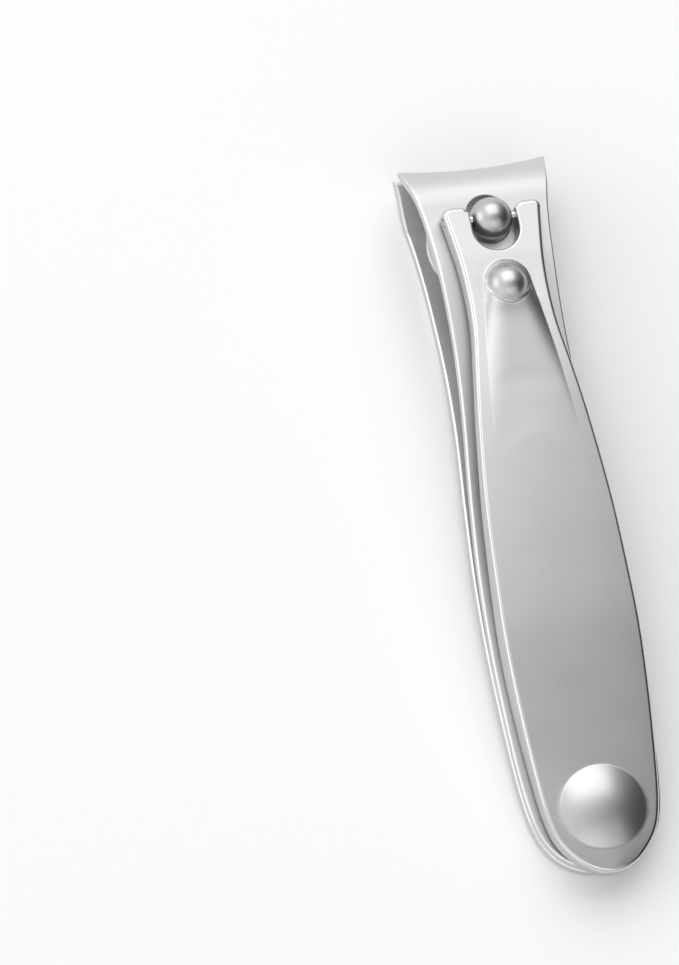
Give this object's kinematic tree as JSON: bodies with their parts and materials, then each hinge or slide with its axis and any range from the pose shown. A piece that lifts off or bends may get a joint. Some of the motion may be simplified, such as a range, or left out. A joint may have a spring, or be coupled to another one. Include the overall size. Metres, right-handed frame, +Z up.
{
  "type": "nail clipper",
  "caption": "Steel nail clipper: two sprung arms with curved cutting edges and a folding lever on a turning ball-headed post.",
  "frame": {"origin": "under the middle of the bounding box, on the surface that the clipper lies on", "axes": "+Y points to the cutting edges, +X across the arms, +Z up towards the lever, along the turning post"},
  "size_m": [0.0166, 0.081, 0.0133],
  "materials": {
    "satin_steel": "satin brushed stainless steel with bright edges",
    "polished_steel": "polished stainless steel"
  },
  "bodies": {
    "lower_arm": {"lower_jaw": "satin_steel", "tail_rivet_front": "satin_steel", "tail_rivet_rear": "satin_steel"},
    "upper_arm": {"upper_jaw": "satin_steel"},
    "post": {"pivot_post": "polished_steel", "cross_pin": "polished_steel"},
    "lever": {"lever": "satin_steel"}
  },
  "joints": [
    {"name": "arm_close", "type": "hinge", "parent": "lower_arm", "child": "upper_arm", "pos_m": [0, -0.0295, 0.002], "axis": [-1, 0, 0], "range_deg": [0, 1.2], "stiffness_Nm_per_rad": 100},
    {"name": "post_turn", "type": "hinge", "parent": "lower_arm", "child": "post", "pos_m": [0, 0.03275, 0.0005], "axis": [0, 0, 1], "continuous": true},
    {"name": "lever_lift", "type": "hinge", "parent": "post", "child": "lever", "pos_m": [0, 0.03275, 0.0104], "axis": [-1, 0, 0], "range_deg": [0, 160]}
  ]
}
